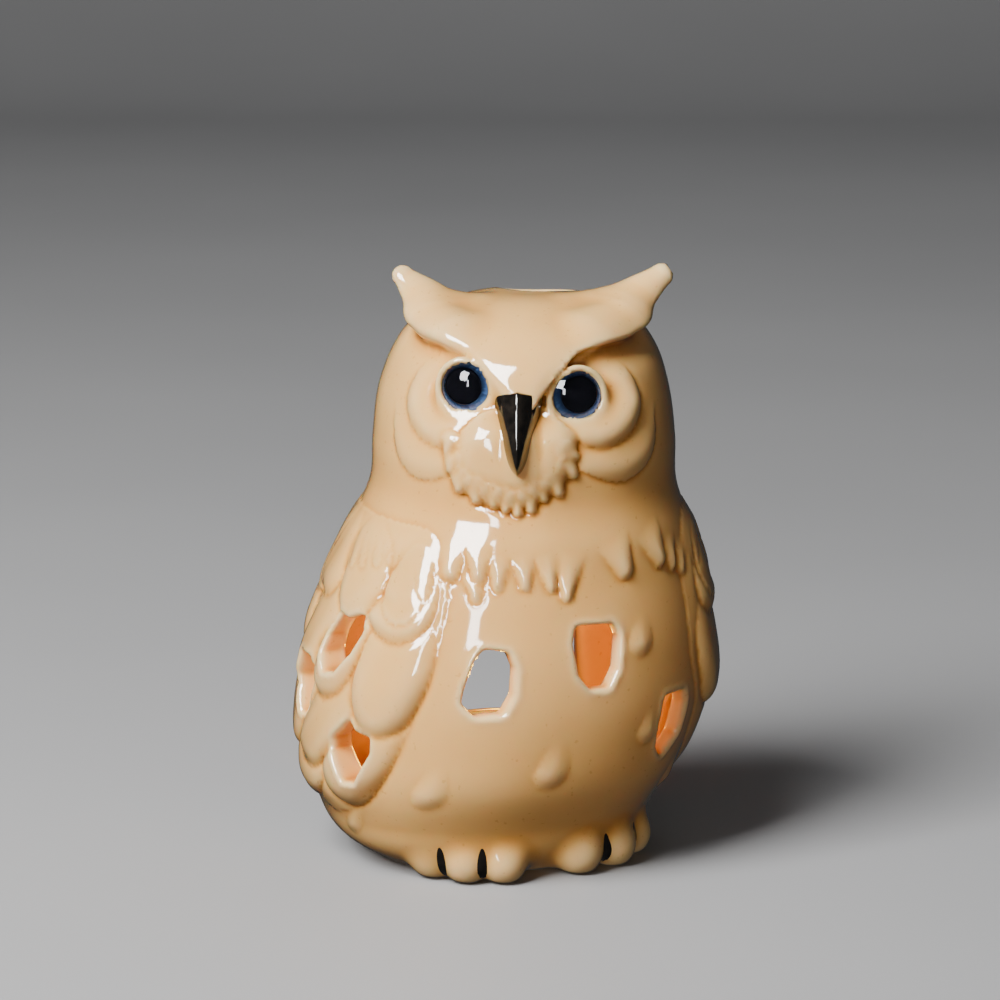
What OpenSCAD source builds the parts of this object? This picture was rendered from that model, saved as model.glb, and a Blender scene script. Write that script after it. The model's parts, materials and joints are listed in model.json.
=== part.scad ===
// Owl lantern: a hollow glazed ceramic owl with cut windows, a chimney hole in the crown
// and a doorway at the back, through which a tealight slides in and out.
// Millimetres, +Z up. The origin is under the middle of the body, on the surface that it
// stands on. The breast faces -Y, and +X is the owl's own left.

/* [Body] */
// Height of the crown, without the ear tufts
crown_h = 114; // [110:1:118]
// Width of the body at its widest
body_w = 82; // [80:1:90]
// Thickness of the ceramic wall
wall_t = 4.5; // [3.5:0.25:5]
// Height of the inside floor, which the tealight stands on
floor_h = 8; // [6:0.5:9]
// How far the wings stand out from the body
wing_t = 1.2; // [0.6:0.2:2]

/* [Head] */
// Angle that the face turns away from the breast
face_turn = -21; // [-26:1:26]
// Height of the eyes
eye_h = 98.8; // [96:0.2:100]
// Distance from the middle of the face to each eye
eye_offset = 11; // [10.5:0.25:12]
// Diameter of each glass eye
eye_d = 10.4; // [9:0.2:11]
// Height of the ear tips
ear_h = 120; // [117:1:124]

/* [Openings] */
// Width of a window
window_w = 9.4; // [7:0.2:11]
// Height of a window
window_h = 14.4; // [10:0.2:16]
// Diameter of the chimney hole in the crown
chimney_d = 14.4; // [10:0.2:16]
// Width of the doorway at the back
door_w = 42; // [41:0.5:44]
// Height of the doorway's top
door_h = 48; // [44:1:52]

/* [Tealight] */
// Diameter of the tealight cup
cup_d = 38; // [37:0.5:39]
// Height of the tealight cup
cup_h = 15; // [13:0.5:16]
// Thickness of the cup's aluminium
cup_t = 0.4; // [0.3:0.05:0.6]
// Height of the wax
wax_h = 12.5; // [10:0.5:13]
// Height that the wick stands above the wax
wick_out = 5; // [4:0.5:8]

/* [Hidden] */

// Colours
glaze = [0.86, 0.66, 0.44];
black_glaze = [0.04, 0.035, 0.03];
iris_blue = [0.16, 0.27, 0.42];
clear_glass = [0.85, 0.92, 0.97, 0.4];
bare_metal = [0.8, 0.81, 0.82];
wax_white = [0.95, 0.94, 0.9];
cotton = [0.9, 0.88, 0.82];

// Shift that brings the origin under the middle of the whole owl
middle_x = -0.5;
middle_y = 1.1;

// Body stations, one for each change of shape from the base to the crown:
// [share of the crown height, half width, reach to the front, reach to the back, lean to +X]
stations = [
    [0.00, 24.0, 22.0, 27.0, -3.0], // base
    [0.04, 30.0, 27.5, 33.0, -4.0], // turn of the base
    [0.10, 34.0, 31.0, 37.0, -4.0],
    [0.18, 38.0, 36.5, 40.0, -2.5], // lower belly
    [0.30, 41.0, 39.5, 40.0,  0.0], // belly
    [0.40, 40.2, 39.3, 38.0,  1.0],
    [0.50, 37.8, 37.2, 34.7,  2.2], // breast
    [0.59, 34.2, 34.7, 31.0,  3.0], // shoulders
    [0.67, 30.6, 32.2, 27.6,  3.5], // neck
    [0.75, 30.1, 32.2, 26.7,  3.6], // cheeks
    [0.84, 28.8, 30.7, 25.4,  3.6], // eyes
    [0.91, 26.0, 28.4, 22.6,  3.9], // brow
    [0.96, 22.4, 24.9, 19.3,  4.0],
    [1.00, 15.0, 17.0, 13.0,  4.0]  // crown
];
squareness = 2.15;       // 2 would be an ellipse
width_scale = body_w / 82;
outer_sides = 40;        // facets round the body
inner_sides = 24;        // facets round the cavity
ring_step = 6;           // height between two rings of facets
head_x = 3.6;            // the head's own axis stands this far to +X
ear_tip_r = 1.6;
ear_root_rise = 2;       // the tufts' roots stand this much above the crown
eye_tilt = 0.7;          // the right eye is this much higher than the middle, the left one lower

// Eyes
eye_reach = 27.4;        // from the head's axis to the middle of the eye rim
eye_out = 18;            // each eye looks this many degrees outward
eye_play = 0.15;         // gap between the glass and its socket
iris_t = 0.5;
pupil_d = 6.2;
pupil_shift = 0.6;       // the pupils sit this far outward in the iris
glass_flange = 1.2;      // straight edge of the glass, behind its dome
glass_dome = 2.4;
inlay_gap = 0.02;        // between the ceramic and the beak and claws set into it

// Windows: [azimuth from the breast, height, slant in degrees, shape]
WINDOWS = [
    [-24.5, 43.6,  -7, "slot"],
    [  7.0, 47.0,   6, "slot"],
    [ 36.0, 30.5,  20, "slot"],
    [-73.0, 47.5, -24, "leaf"],
    [-65.0, 28.0,  -8, "leaf"],
    [-95.0, 36.0, -10, "leaf"],
    [ 86.0, 47.5,  24, "leaf"],
    [ 78.0, 28.0,   8, "leaf"],
    [108.0, 36.0,  10, "leaf"]
];

// Feet: [azimuth, degrees between two toes, radius of a toe, distance of the toes' tips]
feet = [[-35.4, 14.6, 4.6, 33.6], [33, 18.9, 4.9, 31.8]];
toe_rise = 1.5;          // a toe climbs this much towards the belly
claw_l = 7.8;
claw_w = 1.8;
claw_lean = 1.8;         // the top of a stroke stands this much further back than its foot
claw_back = 1.2;         // from the tip of the toes back to the strokes
claw_low = 0.4;          // height of a stroke's lower end

// Openings
chimney_place = [3, 6.5]; // in the head's frame: sideways, back
door_turn = 10;          // the doorway and the tealight's way out turn this much towards +X
door_start = 6;          // the doorway cuts everything from this far behind the tealight
cutter_l = 60;           // long enough to pass through any wall

// Tealight
tealight_x = 0;
tealight_y = 0;
rest_gap = 0.06;         // below the cup, and between the cup and the wax
cup_foot = 1.7;          // the cup stands on a ring, with its base raised this much inside it
cup_foot_w = 2.5;        // width of that ring
wax_play = 0.35;
sustainer_play = 0.1;    // between the wax and the sustainer and wick cast into it
sustainer_d = 12;
sustainer_t = 0.3;
neck_d = 2.4;
neck_h = 5;
wick_d = 1.6;
wax_bottom = floor_h + rest_gap + cup_foot + cup_t + rest_gap;

// One column of the station list at height z, smoothly between the stations
function station_slope(i, col) =
    let (a = max(i - 1, 0), b = min(i + 1, len(stations) - 1))
    (stations[b][col] - stations[a][col]) / ((stations[b][0] - stations[a][0]) * crown_h);

function body_value(z, col) =
    let (
        share = min(max(z / crown_h, 0), 1),
        below = [for (i = [0 : len(stations) - 2]) if (stations[i][0] <= share) i],
        i = below[len(below) - 1],
        h = (stations[i + 1][0] - stations[i][0]) * crown_h,
        t = (share - stations[i][0]) * crown_h / h
    )
    (2 * t ^ 3 - 3 * t ^ 2 + 1) * stations[i][col]
        + (t ^ 3 - 2 * t ^ 2 + t) * h * station_slope(i, col)
        + (3 * t ^ 2 - 2 * t ^ 3) * stations[i + 1][col]
        + (t ^ 3 - t ^ 2) * h * station_slope(i + 1, col);

// Point of the body's surface at an azimuth and a height, moved outward by grow
function body_point(azimuth, z, grow) =
    let (
        side = body_value(z, 1) * width_scale + grow,
        reach = (cos(azimuth) > 0 ? body_value(z, 2) : body_value(z, 3)) + grow,
        r = (abs(sin(azimuth) / side) ^ squareness + abs(cos(azimuth) / reach) ^ squareness)
            ^ (-1 / squareness)
    )
    [body_value(z, 4) + r * sin(azimuth), -r * cos(azimuth), z];

// Solid between two heights of the body, moved outward by grow (inward when negative)
module body_loft(z_low, z_high, grow, sides = outer_sides) {
    rings = ceil((z_high - z_low) / ring_step);
    points = [
        for (k = [0 : rings], s = [0 : sides - 1])
            body_point(-s * 360 / sides, z_low + (z_high - z_low) * k / rings, grow)
    ];
    walls = [
        for (k = [0 : rings - 1], s = [0 : sides - 1])
            let (t = (s + 1) % sides, a = k * sides, b = a + sides)
            each [[a + s, a + t, b + t], [a + s, b + t, b + s]]
    ];
    bottom = [for (s = [sides - 1 : -1 : 0]) s];
    top = [for (s = [0 : sides - 1]) rings * sides + s];
    polyhedron(points, concat(walls, [bottom, top]), convexity = 4);
}

// Places children so that the whole owl stands over the origin
module over_origin() {
    translate([middle_x, middle_y, 0]) children();
}

// Places children at an azimuth and a height, with their own -Y looking outward
module at_azimuth(azimuth, z, x = 0) {
    translate([x, 0, z]) rotate([0, 0, azimuth]) children();
}

// Places children in the head's frame: its face looks to -Y
module on_head() {
    translate([head_x, 0, 0]) rotate([0, 0, face_turn]) children();
}

// Places children at one eye: the middle of its rim is the origin, looking to -Y
module at_eye(side) {
    on_head()
        translate([side * eye_offset, -eye_reach, eye_h - side * eye_tilt])
            rotate([0, 0, side * eye_out]) children();
}

// Outline of one window
module window_outline(shape) {
    r = window_w / 4;
    low_r = shape == "leaf" ? window_w / 6 : window_w / 2.6;
    hull() {
        for (side = [-1, 1])
            translate([side * (window_w / 2 - r), window_h / 2 - r]) circle(r, $fn = 12);
        translate([0, -window_h / 2 + low_r]) circle(low_r, $fn = 16);
        if (shape == "slot")
            for (side = [-1, 1])
                translate([side * (window_w / 2 - r), -window_h / 2 + r * 2]) circle(r, $fn = 12);
    }
}

module windows() {
    start = 20;
    for (w = WINDOWS)
        at_azimuth(w[0], w[1], body_value(w[1], 4))
            rotate([90, 0, 0])
                translate([0, 0, start])
                    rotate([0, 0, w[2]])
                        linear_extrude(cutter_l) window_outline(w[3]);
}

module chimney() {
    on_head()
        translate([chimney_place[0], chimney_place[1], crown_h - cutter_l / 3])
            cylinder(h = cutter_l, d = chimney_d, $fn = 48);
}

module doorway() {
    r = door_w / 3;
    translate([tealight_x, tealight_y, 0])
        rotate([0, 0, -door_turn])
            translate([0, door_start, 0])
                hull() {
                    for (side = [-1, 1])
                        translate([side * (door_w / 2 - r), 0, door_h - r])
                            rotate([-90, 0, 0]) cylinder(h = cutter_l, r = r, $fn = 24);
                    translate([-door_w / 2, 0, floor_h]) cube([door_w, cutter_l, door_h / 3]);
                }
}

// How far out each ear tuft leans: its tip, and its root behind the brow
function ear_tip_x(side) = side > 0 ? 27.6 : 24;
function ear_mid_x(side) = side > 0 ? 23 : 20.4;

// Ear tuft and the brow ridge that runs from it down to the beak
module brow(side) {
    // along the ridge: [sideways, forward, height, radius]
    ridge = [
        [ 3.0, 28.6,  99.5, 1.4],
        [ 7.5, 27.2, 103.6, 1.8],
        [12.5, 23.8, 107.2, 2.2],
        [17.0, 17.0, 109.6, 3.2],
        [ear_mid_x(side), 7.0, 112.0, 3.6],
        [ear_tip_x(side), 3.2, ear_h - ear_tip_r, ear_tip_r]
    ];
    on_head()
        for (i = [0 : len(ridge) - 2])
            hull()
                for (p = [ridge[i], ridge[i + 1]])
                    translate([side * p[0], -p[1], p[2]]) sphere(p[3], $fn = 14);
}

// Back edge of the ear tuft, which joins it to the crown
module ear_root(side) {
    root_r = 5.5;
    on_head()
        hull() {
            translate([side * 12, -4, crown_h + ear_root_rise - root_r]) sphere(root_r, $fn = 16);
            translate([side * ear_tip_x(side), -3.4, ear_h - 2 * ear_tip_r])
                sphere(ear_tip_r, $fn = 12);
        }
}

// Raised ring round one eye
module eye_rim(side) {
    at_eye(side)
        translate([0, 0.6, 0])
            rotate([90, 0, 0])
                rotate_extrude($fn = 28)
                    translate([eye_d / 2 + 1.1, 0]) circle(1.2, $fn = 10);
}

// Soft pad under the beak
module muzzle() {
    // [sideways, forward, height, radius]
    pads = [[-7, 26.6, 87.5, 6.4], [7, 26.6, 87.5, 6.4], [0, 27.6, 82, 5.4], [0, 26.4, 94, 5]];
    on_head()
        hull()
            for (p = pads)
                translate([p[0], -p[1], p[2]]) sphere(p[3], $fn = 20);
}

// One wing: two overlapping layers of feathers that follow the body
module wing(side) {
    // outline of each layer, in depth and height
    outer_layer = [
        [-27, 62], [-30, 50], [-26, 30], [-20, 16], [-12, 12], [0, 17],
        [10, 12], [24, 18], [34, 30], [34, 66], [10, 72], [-18, 68]
    ];
    upper_layer = [
        [-24, 66], [-26, 54], [-20, 48], [-10, 52], [0, 46],
        [12, 52], [24, 46], [30, 66], [10, 71], [-14, 70]
    ];
    wing_low = 8;
    wing_high = 74;
    inner_side = 12;         // the layers reach in to this distance from the middle
    corner_r = 3;
    for (layer = [[outer_layer, wing_t], [upper_layer, wing_t * 1.8]])
        intersection() {
            body_loft(wing_low, wing_high, layer[1]);
            translate([side > 0 ? inner_side : -inner_side - cutter_l, 0, 0])
                rotate([90, 0, 90])
                    linear_extrude(cutter_l)
                        offset(r = corner_r, $fn = 12) offset(delta = -corner_r)
                            polygon(layer[0]);
        }
}

// One foot: three toes that spread from under the belly
module foot(azimuth, step, toe_r, reach) {
    for (k = [-1 : 1])
        hull() {
            at_azimuth(azimuth + k * step, toe_r)
                translate([0, toe_r - reach, 0]) sphere(toe_r, $fn = 16);
            at_azimuth(azimuth + k * step * 0.8, toe_r + toe_rise)
                translate([0, toe_r * 3 - reach, 0]) sphere(toe_r, $fn = 16);
        }
}

// Everything of the ceramic that stands out from the plain body
module relief() {
    for (side = [-1, 1]) {
        brow(side);
        ear_root(side);
        eye_rim(side);
        wing(side);
    }
    muzzle();
    for (f = feet)
        foot(f[0], f[1], f[2], f[3]);
}

// Straight sides that the glass, iris and pupil of one eye fit into
module eye_socket(side) {
    at_eye(side)
        rotate([90, 0, 0])
            translate([0, 0, -glass_flange - iris_t])
                cylinder(h = 12, r = eye_d / 2 + eye_play, $fn = 48);
}

module owl_shell() {
    below_base = 20;
    color(glaze) over_origin()
        difference() {
            union() {
                body_loft(0, crown_h, 0);
                relief();
            }
            translate([-100, -100, -below_base]) cube([200, 200, below_base]);
            body_loft(floor_h, crown_h - wall_t, -wall_t, inner_sides);
            windows();
            chimney();
            doorway();
            for (side = [-1, 1])
                eye_socket(side);
            beak_solid(inlay_gap);
            claw_solids(inlay_gap);
        }
}

// Beak: a ridge that curves from between the eyes down to a point
module beak_solid(grow) {
    // its corners: [sideways, forward, height, radius]
    corners = [
        [-3.4, 28.3, 98.0, 0.9], // top corners
        [ 3.4, 28.3, 98.0, 0.9],
        [ 0.0, 29.2, 99.6, 0.9], // peak between them
        [ 0.0, 33.2, 93.5, 1.0], // ridge
        [ 0.0, 34.2, 85.4, 0.7], // point
        [ 0.0, 28.6, 87.0, 0.7]  // behind the point, in the muzzle
    ];
    on_head()
        hull()
            for (c = corners)
                translate([c[0], -c[1], c[2]]) sphere(c[3] + grow, $fn = 14);
}

module beak() {
    color(black_glaze) over_origin() beak_solid(0);
}

// Clear dome with a short straight edge
module eye_glass(side) {
    edge_r = eye_d / 2;
    dome_r = (edge_r ^ 2 + glass_dome ^ 2) / (2 * glass_dome);
    color(clear_glass) over_origin()
        at_eye(side)
            rotate([90, 0, 0]) {
                translate([0, 0, -glass_flange]) cylinder(h = glass_flange, r = edge_r, $fn = 64);
                intersection() {
                    translate([0, 0, glass_dome - dome_r]) sphere(dome_r, $fn = 64);
                    cylinder(h = glass_dome + 1, r = edge_r, $fn = 64);
                }
            }
}

// Disc that fills the pupil's place in the iris
module pupil_disc(side, disc_t) {
    at_eye(side)
        rotate([90, 0, 0])
            translate([side * pupil_shift, pupil_shift / 2, -glass_flange - iris_t])
                cylinder(h = disc_t, d = pupil_d, $fn = 48);
}

module eye_iris(side) {
    color(iris_blue) over_origin()
        difference() {
            at_eye(side)
                rotate([90, 0, 0])
                    translate([0, 0, -glass_flange - iris_t])
                        cylinder(h = iris_t, r = eye_d / 2, $fn = 64);
            pupil_disc(side, iris_t);
        }
}

module eye_pupil(side) {
    color(black_glaze) over_origin() pupil_disc(side, iris_t);
}

// Black strokes in the two grooves between the toes of each foot
module claw_solids(grow) {
    for (f = feet, k = [-0.5, 0.5])
        at_azimuth(f[0] + k * f[1], 0)
            translate([0, claw_back - f[3], claw_low])
                hull() {
                    translate([0, 0, claw_w / 2]) sphere(claw_w / 2 + grow, $fn = 14);
                    translate([0, claw_lean, claw_l - claw_w / 2])
                        sphere(claw_w / 2 + grow, $fn = 14);
                }
}

module claw_marks() {
    color(black_glaze) over_origin() claw_solids(0);
}

module at_tealight(z) {
    over_origin() translate([tealight_x, tealight_y, z]) children();
}

module tealight_cup() {
    color(bare_metal)
        at_tealight(floor_h + rest_gap)
            difference() {
                cylinder(h = cup_h, d = cup_d, $fn = 96);
                translate([0, 0, cup_foot + cup_t])
                    cylinder(h = cup_h, d = cup_d - 2 * cup_t, $fn = 96);
                translate([0, 0, -1])
                    cylinder(h = cup_foot + 1, d = cup_d - 2 * cup_foot_w, $fn = 96);
            }
}

module tealight_wax() {
    color(wax_white)
        at_tealight(wax_bottom)
            difference() {
                cylinder(h = wax_h, d = cup_d - 2 * cup_t - 2 * wax_play, $fn = 96);
                translate([0, 0, -1])
                    cylinder(h = sustainer_t + sustainer_play + 1,
                             d = sustainer_d + 2 * sustainer_play, $fn = 64);
                cylinder(h = neck_h + sustainer_play, d = neck_d + 2 * sustainer_play, $fn = 48);
                cylinder(h = wax_h + 1, d = wick_d + 2 * sustainer_play, $fn = 48);
            }
}

module wick_sustainer() {
    color(bare_metal)
        at_tealight(wax_bottom)
            difference() {
                union() {
                    cylinder(h = sustainer_t, d = sustainer_d, $fn = 64);
                    cylinder(h = neck_h, d = neck_d, $fn = 48);
                }
                translate([0, 0, -1]) cylinder(h = neck_h + 2, d = wick_d, $fn = 48);
            }
}

module wick() {
    color(cotton)
        at_tealight(wax_bottom) cylinder(h = wax_h + wick_out, d = wick_d, $fn = 48);
}

owl_shell();
beak();
eye_glass(1);  // left_eye_glass
eye_glass(-1);  // right_eye_glass
eye_iris(1);  // left_eye_iris
eye_iris(-1);  // right_eye_iris
eye_pupil(1);  // left_eye_pupil
eye_pupil(-1);  // right_eye_pupil
claw_marks();
tealight_cup();
tealight_wax();
wick_sustainer();
wick();
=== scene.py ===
"""Looks of the owl lantern: a glazed ceramic owl, its glass eyes and the tealight inside.

The ceramic is sculpted as a distance field in millimetres, in a frame that MIDDLE moves to the
row's. The field is a lofted body with a relief of feathers, drawn on one chart round the body and
one round the head, and with ear tufts, feet and the cut openings. It is meshed once, and its
vertices are then pulled onto the field's exact surface. The beak and the claw strokes are laid on
that surface. The eyes and the tealight are lathed and lofted, each placed from its node's box.
"""

import json
import math

import bmesh
import bpy
import numpy as np
import openvdb
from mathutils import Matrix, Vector

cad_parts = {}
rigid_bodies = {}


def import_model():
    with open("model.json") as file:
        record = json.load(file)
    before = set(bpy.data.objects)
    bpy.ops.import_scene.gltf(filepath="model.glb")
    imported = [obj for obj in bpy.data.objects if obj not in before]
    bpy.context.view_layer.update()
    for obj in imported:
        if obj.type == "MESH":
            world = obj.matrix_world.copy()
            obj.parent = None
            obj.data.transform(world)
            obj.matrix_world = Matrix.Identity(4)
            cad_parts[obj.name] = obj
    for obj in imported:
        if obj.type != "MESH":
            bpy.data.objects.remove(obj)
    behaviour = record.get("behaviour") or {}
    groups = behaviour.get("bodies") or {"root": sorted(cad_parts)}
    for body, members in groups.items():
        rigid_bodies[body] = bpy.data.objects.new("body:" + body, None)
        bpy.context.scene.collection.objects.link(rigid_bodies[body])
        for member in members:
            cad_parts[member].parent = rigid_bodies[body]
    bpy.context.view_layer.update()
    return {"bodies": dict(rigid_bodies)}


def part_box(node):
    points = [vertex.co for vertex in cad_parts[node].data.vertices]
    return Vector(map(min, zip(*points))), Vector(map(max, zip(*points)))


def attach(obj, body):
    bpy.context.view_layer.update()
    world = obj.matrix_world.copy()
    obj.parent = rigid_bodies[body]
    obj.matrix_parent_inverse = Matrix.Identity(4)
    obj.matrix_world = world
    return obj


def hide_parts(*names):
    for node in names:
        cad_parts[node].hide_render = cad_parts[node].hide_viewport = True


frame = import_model()

MM = 0.001
VOXEL = 0.65
rng = np.random.default_rng(7)

# ---------------- sizes, in millimetres
CROWN_H = 114.0
WALL_T = 4.5
FLOOR_H = 8.0
HEAD_X = 3.6
FACE_TURN = math.radians(-21)
HEAD_R = 30.0
DOOR_W, DOOR_TOP = 42.0, 48.0
DOOR_TURN = math.radians(10)
# Shift of the whole owl that puts the origin under the middle of its box
MIDDLE = np.array([-0.5, 1.1, 0.0])
CHIMNEY_R = 7.2
CHIMNEY_PLACE = (3.0, 6.5)
EYE_R = 5.2
EYE_DOME = 2.4
DOME_R = (EYE_R**2 + EYE_DOME**2) / (2 * EYE_DOME)
EYE_OUT = math.radians(18)
LID_OUT, LID_R = 0.4, 0.75
SOCKET_PLAY, SOCKET_DEPTH = 0.12, 2.2
PUPIL_R, PUPIL_SHIFT = 3.1, 0.6
SQUARENESS = 2.15

# Height, half width, reach to the front, reach to the back, lean to +X
STATIONS = np.array([
    (0.00, 24.0, 22.0, 27.0, -3.0),
    (0.04, 30.0, 27.5, 33.0, -4.0),
    (0.10, 34.0, 31.0, 37.0, -4.0),
    (0.18, 38.0, 36.5, 40.0, -2.5),
    (0.30, 41.0, 39.5, 40.0, 0.0),
    (0.40, 40.2, 39.3, 38.0, 1.0),
    (0.50, 37.8, 37.2, 34.7, 2.2),
    (0.59, 34.2, 34.7, 31.0, 3.0),
    (0.67, 30.6, 32.2, 27.6, 3.5),
    (0.75, 30.1, 32.2, 26.7, 3.6),
    (0.84, 28.8, 30.9, 25.4, 3.6),
    (0.91, 26.2, 28.6, 23.0, 3.9),
    (0.96, 23.8, 26.2, 21.0, 4.0),
    (1.00, 20.6, 23.0, 18.6, 4.0),
    (1.06, 15.8, 18.2, 14.6, 4.0),
])
STATIONS[:, 0] *= CROWN_H


# ---------------- field helpers
FAR = 9.0  # distance given to points that are well outside a shape
GROOVE_WIDTH = 0.9


def smooth_curve(points, at):
    """Cubic curve through points, read at every value of at."""
    x, y = np.asarray(points, float).T
    slope = np.gradient(y, x)
    at = np.clip(at, x[0], x[-1])
    i = np.clip(np.searchsorted(x, at, side="right") - 1, 0, len(x) - 2)
    h = x[i + 1] - x[i]
    t = (at - x[i]) / h
    return (
        (2 * t**3 - 3 * t**2 + 1) * y[i]
        + (t**3 - 2 * t**2 + t) * h * slope[i]
        + (3 * t**2 - 2 * t**3) * y[i + 1]
        + (t**3 - t**2) * h * slope[i + 1]
    )


def smooth_min(a, b, k):
    h = np.clip(0.5 + 0.5 * (b - a) / k, 0, 1)
    return b + (a - b) * h - k * h * (1 - h)


def smooth_max(a, b, k):
    return -smooth_min(-a, -b, k)


def smooth_step(low, high, x):
    t = np.clip((x - low) / (high - low), 0, 1)
    return t * t * (3 - 2 * t)


TABLE_Z = np.arange(-4, 130, 0.1)
TABLE = [smooth_curve(STATIONS[:, (0, k)], TABLE_Z) for k in (1, 2, 3, 4)]
STEEPNESS = 1 / np.sqrt(1 + np.gradient(TABLE[0], TABLE_Z) ** 2)
CHART_R = (TABLE[0] + TABLE[1]) / 2


def body_field(p):
    """Signed distance to the plain body's sides, without its ends."""
    z = p[:, 2]
    half, front, back, lean = (np.interp(z, TABLE_Z, column) for column in TABLE)
    x = p[:, 0] - lean
    y = p[:, 1]
    reach = np.where(y < 0, front, back)
    stretch = (np.abs(x / half) ** SQUARENESS + np.abs(y / reach) ** SQUARENESS) ** (1 / SQUARENESS)
    gap = np.hypot(x, y) * (1 - 1 / np.maximum(stretch, 0.05))
    return gap * np.interp(z, TABLE_Z, STEEPNESS)


def body_azimuth(p):
    """Degrees from the breast, positive to +X."""
    lean = np.interp(p[:, 2], TABLE_Z, TABLE[3])
    return np.degrees(np.arctan2(p[:, 0] - lean, -p[:, 1]))


def to_head(p):
    """The field's frame to the head's, with the face to -Y."""
    x = p[:, 0] - HEAD_X
    c, s = math.cos(FACE_TURN), math.sin(FACE_TURN)
    return np.stack([c * x + s * p[:, 1], -s * x + c * p[:, 1], p[:, 2]], 1)


def from_head(q):
    c, s = math.cos(FACE_TURN), math.sin(FACE_TURN)
    return np.array([HEAD_X + c * q[0] - s * q[1], s * q[0] + c * q[1], q[2]])


def round_cone(p, a, b, ra, rb):
    """Distance to a cone with round ends between the points a and b, in 2-D or 3-D."""
    a, b = np.asarray(a, float), np.asarray(b, float)
    axis = b - a
    t = np.clip((p - a) @ axis / max(axis @ axis, 1e-9), 0, 1)
    away = p - a - t[:, None] * axis
    return np.sqrt((away**2).sum(1)) - (ra + (rb - ra) * t)


def pillow(outline, height, bevel, edge):
    """Height of a cushion inside an outline's distance; its edge is upright at 0.5, a slope at 1."""
    q = np.clip(-outline / bevel, 0, 1)
    return height * (1 - (1 - q) ** 2) ** edge


class Relief:
    """Heights that stand on the body, collected feature by feature on a chart."""

    def __init__(self, x, z):
        self.x, self.z = x, z
        self.chart = np.stack([x, z], 1)
        self.height = np.zeros(len(x))

    def lay(self, outline, height, bevel, groove=0.15, softness=0.25, edge=0.5, base=0.0):
        """Lays a cushion on a base, over what is there, with a shallow groove round its edge."""
        near = outline < 3.5
        o = outline[near]
        h = np.broadcast_to(height, outline.shape)[near]
        top = np.broadcast_to(base, outline.shape)[near] + pillow(o, h, bevel, edge)
        below = self.height[near]
        dip = np.broadcast_to(groove, outline.shape)[near]
        dip = dip * np.exp(-((np.maximum(o, 0) / GROOVE_WIDTH) ** 2))
        inside = smooth_max(below, top, np.clip(softness * 2 * h, 0.01, softness))
        self.height[near] = np.where(o < 0, inside, below - dip)

    def feather(self, root, tip, r_root, r_tip, height, bevel=2.0, groove=0.15, lift=0.3, start=0.0,
                edge=0.6):
        """One feather: flat at its root and raised at its tip, from start along its length on."""
        axis = np.subtract(tip, root)
        length = math.hypot(*axis)
        end = np.subtract(tip, axis / length * r_tip)
        reach = length + r_root + r_tip
        near = (np.abs(self.x - (root[0] + tip[0]) / 2) < reach) & (
            np.abs(self.z - (root[1] + tip[1]) / 2) < reach
        )
        if not near.any():
            return
        outline = np.full(len(self.x), FAR)
        outline[near] = round_cone(self.chart[near], root, end, r_root, r_tip)
        along = ((self.chart - root) @ axis) / length**2
        ramp = lift + (1 - lift) * smooth_step(start, 0.9, along)
        self.lay(outline, height * ramp, bevel, groove * ramp, 0.4, edge=edge)


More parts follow.
